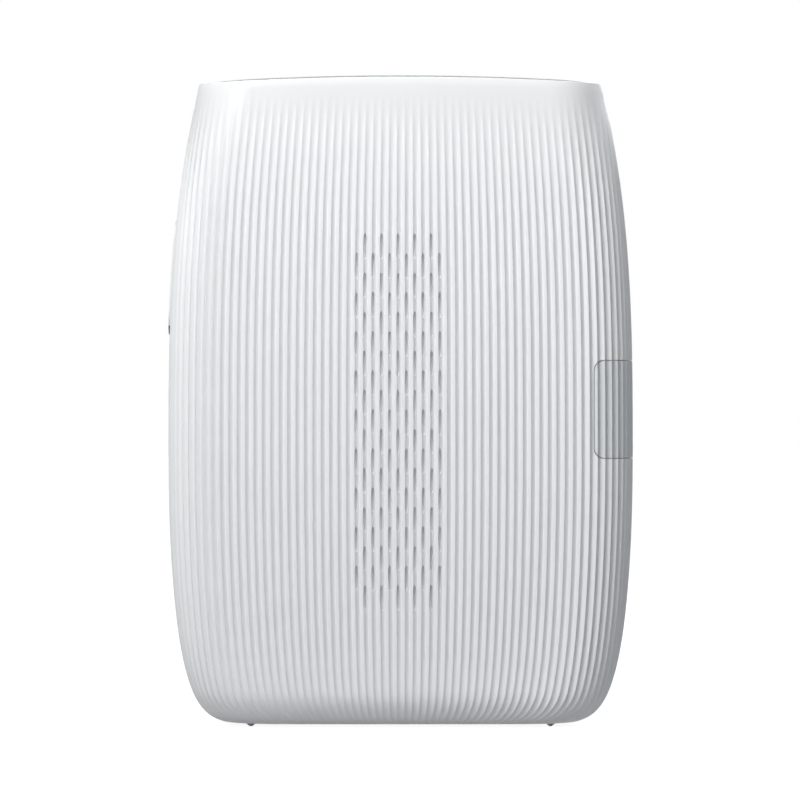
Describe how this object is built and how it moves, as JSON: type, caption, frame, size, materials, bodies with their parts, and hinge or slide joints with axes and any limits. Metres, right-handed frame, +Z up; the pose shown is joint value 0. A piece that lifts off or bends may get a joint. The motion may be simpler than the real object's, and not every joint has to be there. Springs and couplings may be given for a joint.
{
  "type": "compact photo printer",
  "caption": "Pocket instant-film photo printer: upright casing with fine vertical flutes, film slot on top, hinged back door, side lock and hinged corner cover.",
  "frame": {"origin": "on the ground, below the middle of the printer", "axes": "+Z up, -Y out of the plain fluted front, +X to the right seen from the front"},
  "size_m": [0.0902, 0.0374, 0.1256],
  "materials": {
    "casing_white": "satin moulded plastic, fluted",
    "cover_white": "satin, slightly cooler than the casing",
    "bezel_white": "fine satin",
    "trim_grey": "smooth satin grey",
    "button_grey": "satin with concentric tool marks",
    "light_diffuser": "milky translucent",
    "chassis_black": "light-tight matt black, spark eroded",
    "foam_black": "open-cell foam and felt",
    "foot_rubber": "soft matt",
    "roller_rubber": "ground matt",
    "steel": "brushed",
    "dark_steel": "black oxide",
    "bright_steel": "drawn bright",
    "brass": "sintered, oiled",
    "gear_ivory": "acetal, slightly waxy",
    "board_green": "solder mask with copper tracks",
    "chip_black": "moulded epoxy",
    "battery_grey": "foil pouch",
    "flex_amber": "polyimide film",
    "window_clear": "clear acrylic pane",
    "lens_glass": "polished"
  },
  "bodies": {
    "casing": {"front_shell": "casing_white", "rear_shell": "casing_white", "top_bezel": "bezel_white", "exit_chute": "chassis_black", "slot_felts": "foam_black", "feet": "foot_rubber", "lock_track": "bezel_white", "control_panel": "bezel_white", "status_light": "light_diffuser", "port_tray": "trim_grey", "port_hinge_pin": "bright_steel", "usb_socket": "bright_steel", "charge_light": "light_diffuser", "chassis": "chassis_black", "light_seal": "foam_black", "door_hinge_pin": "bright_steel", "left_bracket": "steel", "gear_plate": "steel", "bushes": "brass", "gear_axles": "bright_steel", "roller_springs": "bright_steel", "print_head": "chassis_black", "lens_bar": "lens_glass", "motor": "bright_steel", "main_board": "board_green", "board_chips": "chip_black", "shield_can": "steel", "battery": "battery_grey", "button_board": "board_green", "head_flex": "flex_amber", "screws": "dark_steel", "door_switch": "chip_black"},
    "film_door": {"door_skin": "casing_white", "door_liner": "chassis_black", "door_window": "window_clear", "pack_springs": "bright_steel"},
    "door_lock": {"lock_slider": "bezel_white", "lock_bar": "steel"},
    "port_door": {"port_cover": "cover_white"},
    "power_key": {"power_button": "button_grey"},
    "function_key": {"function_button": "button_grey"},
    "reset_key": {"reset_button": "chip_black"},
    "drive_rotor": {"drive_shaft": "bright_steel", "drive_roller": "roller_rubber", "drive_gear": "gear_ivory", "claw_cam": "gear_ivory"},
    "pinch_rotor": {"pinch_shaft": "bright_steel", "pinch_roller": "roller_rubber", "pinch_gear": "gear_ivory"},
    "idler_rotor": {"idler_gear": "gear_ivory"},
    "reduction_rotor": {"reduction_gear": "gear_ivory"},
    "motor_rotor": {"motor_pinion": "brass"},
    "claw_slide": {"film_claw": "steel"},
    "switch_slide": {"switch_plunger": "bezel_white"}
  },
  "joints": [
    {"name": "film_door_hinge", "type": "hinge", "parent": "casing", "child": "film_door", "pos_m": [0, 0.01695, 0.01055], "axis": [-1, 0, 0], "range_deg": [0, 90]},
    {"name": "door_lock_slide", "type": "slide", "parent": "casing", "child": "door_lock", "axis": [-0.0616, 0, -0.9981], "range_m": [0, 0.0023]},
    {"name": "port_cover_hinge", "type": "hinge", "parent": "casing", "child": "port_door", "pos_m": [0.04394, 0.00115, 0.0614], "axis": [0, 0, 1], "range_deg": [0, 90]},
    {"name": "power_button_press", "type": "slide", "parent": "casing", "child": "power_key", "axis": [-0.9985, 0, 0.0548], "range_m": [0, 0.0005], "stiffness_N_per_m": 2000},
    {"name": "function_button_press", "type": "slide", "parent": "casing", "child": "function_key", "axis": [-0.9985, 0, 0.0548], "range_m": [0, 0.0005], "stiffness_N_per_m": 2000},
    {"name": "reset_button_press", "type": "slide", "parent": "casing", "child": "reset_key", "axis": [-1, 0, 0], "range_m": [0, 0.0004], "stiffness_N_per_m": 1000},
    {"name": "drive_roller_spin", "type": "hinge", "parent": "casing", "child": "drive_rotor", "pos_m": [0, -0.0055, 0.10805], "axis": [1, 0, 0], "continuous": true},
    {"name": "pinch_roller_spin", "type": "hinge", "parent": "casing", "child": "pinch_rotor", "pos_m": [0, 0.0025, 0.10805], "axis": [1, 0, 0], "continuous": true},
    {"name": "idler_gear_spin", "type": "hinge", "parent": "casing", "child": "idler_rotor", "pos_m": [0, -0.00749, 0.09825], "axis": [1, 0, 0], "continuous": true},
    {"name": "reduction_gear_spin", "type": "hinge", "parent": "casing", "child": "reduction_rotor", "pos_m": [0, -0.00749, 0.08975], "axis": [1, 0, 0], "continuous": true},
    {"name": "motor_spin", "type": "hinge", "parent": "casing", "child": "motor_rotor", "pos_m": [0, -0.0104, 0.08176], "axis": [1, 0, 0], "continuous": true},
    {"name": "film_claw_slide", "type": "slide", "parent": "casing", "child": "claw_slide", "axis": [0, 0, 1], "range_m": [0, 0.006]},
    {"name": "switch_plunger_press", "type": "slide", "parent": "casing", "child": "switch_slide", "axis": [0, -1, 0], "range_m": [0, 0.0008], "stiffness_N_per_m": 500}
  ],
  "couplings": [
    {"joint": "pinch_roller_spin", "follows": "drive_roller_spin", "ratio": -1},
    {"joint": "idler_gear_spin", "follows": "drive_roller_spin", "ratio": -0.66667},
    {"joint": "reduction_gear_spin", "follows": "drive_roller_spin", "ratio": 1.6},
    {"joint": "motor_spin", "follows": "drive_roller_spin", "ratio": -3.84}
  ]
}
